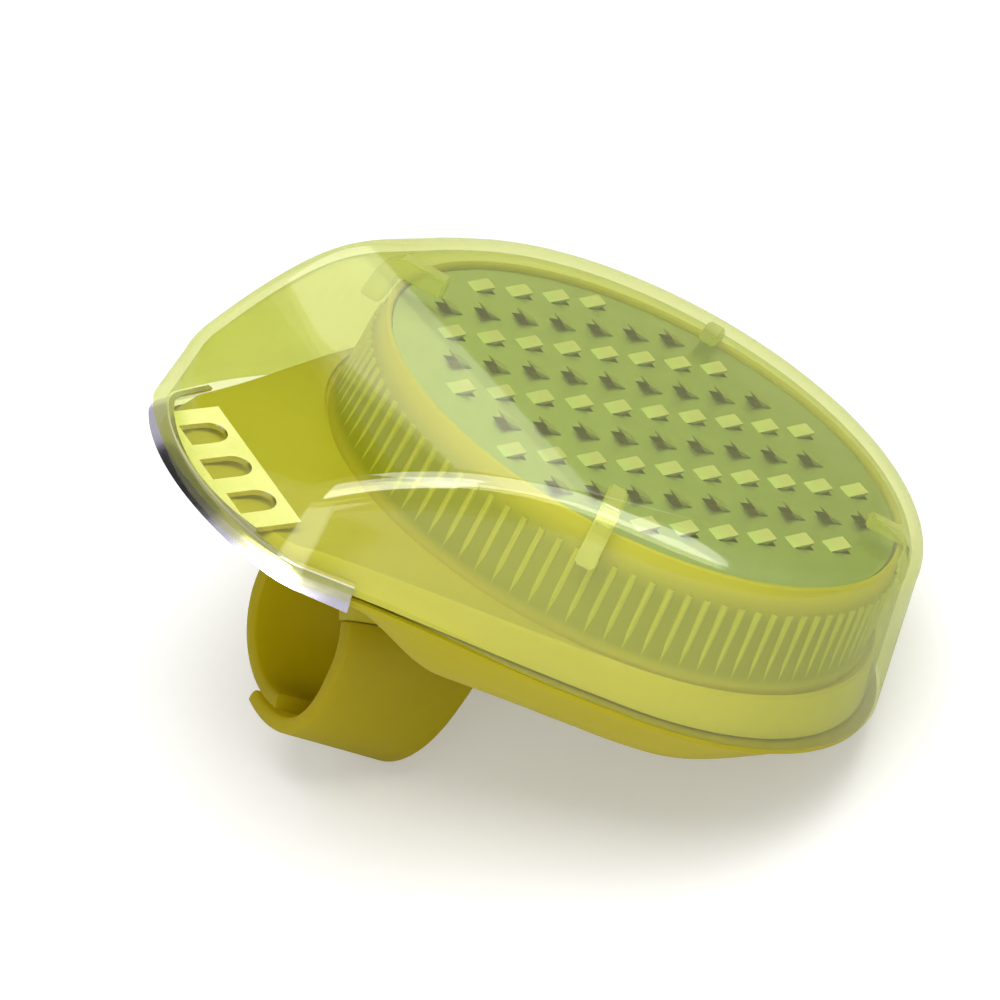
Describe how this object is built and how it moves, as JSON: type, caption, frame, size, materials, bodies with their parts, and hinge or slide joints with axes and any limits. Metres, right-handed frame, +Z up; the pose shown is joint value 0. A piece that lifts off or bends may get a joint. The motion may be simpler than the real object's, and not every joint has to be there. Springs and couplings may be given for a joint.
{
  "type": "zester",
  "caption": "Palm-held zester with a round grating plate, slotted steel nose blade, clear lime lift-off cover and a sprung finger ring underneath",
  "frame": {"origin": "On the table under the middle of the box of the object as it stands on its finger ring and tail rim.", "axes": "+X runs from the nose to the tail, +Y to the far side of the picture, +Z up. The grating plate leans nose up by 27.7 degrees about Y."},
  "size_m": [0.096, 0.0852, 0.06],
  "materials": {
    "lime": "satin",
    "clear_lime": "clear tinted gloss",
    "steel": "bright stamped"
  },
  "bodies": {
    "body": {"pod": "lime", "lower_shell": "lime", "grater_plate": "steel", "nose_blade": "steel", "ring_pad": "lime"},
    "cover": {"cover": "clear_lime"},
    "near_arm": {"ring_near_arm": "lime"},
    "far_arm": {"ring_far_arm": "lime"}
  },
  "joints": [
    {"name": "cover_lift", "type": "slide", "parent": "body", "child": "cover", "axis": [0.4643, 0, 0.8857], "range_m": [0, 0.035]},
    {"name": "near_arm_flex", "type": "hinge", "parent": "body", "child": "near_arm", "pos_m": [-0.02132, -0.00914, 0.0244], "axis": [-0.856, 0, 0.5169], "range_deg": [0, 18], "stiffness_Nm_per_rad": 0.5},
    {"name": "far_arm_flex", "type": "hinge", "parent": "body", "child": "far_arm", "pos_m": [-0.02132, 0.00914, 0.0244], "axis": [0.856, 0, -0.5169], "range_deg": [0, 7.5], "stiffness_Nm_per_rad": 0.5}
  ],
  "couplings": [
    {"joint": "far_arm_flex", "follows": "near_arm_flex", "ratio": 0.4}
  ]
}
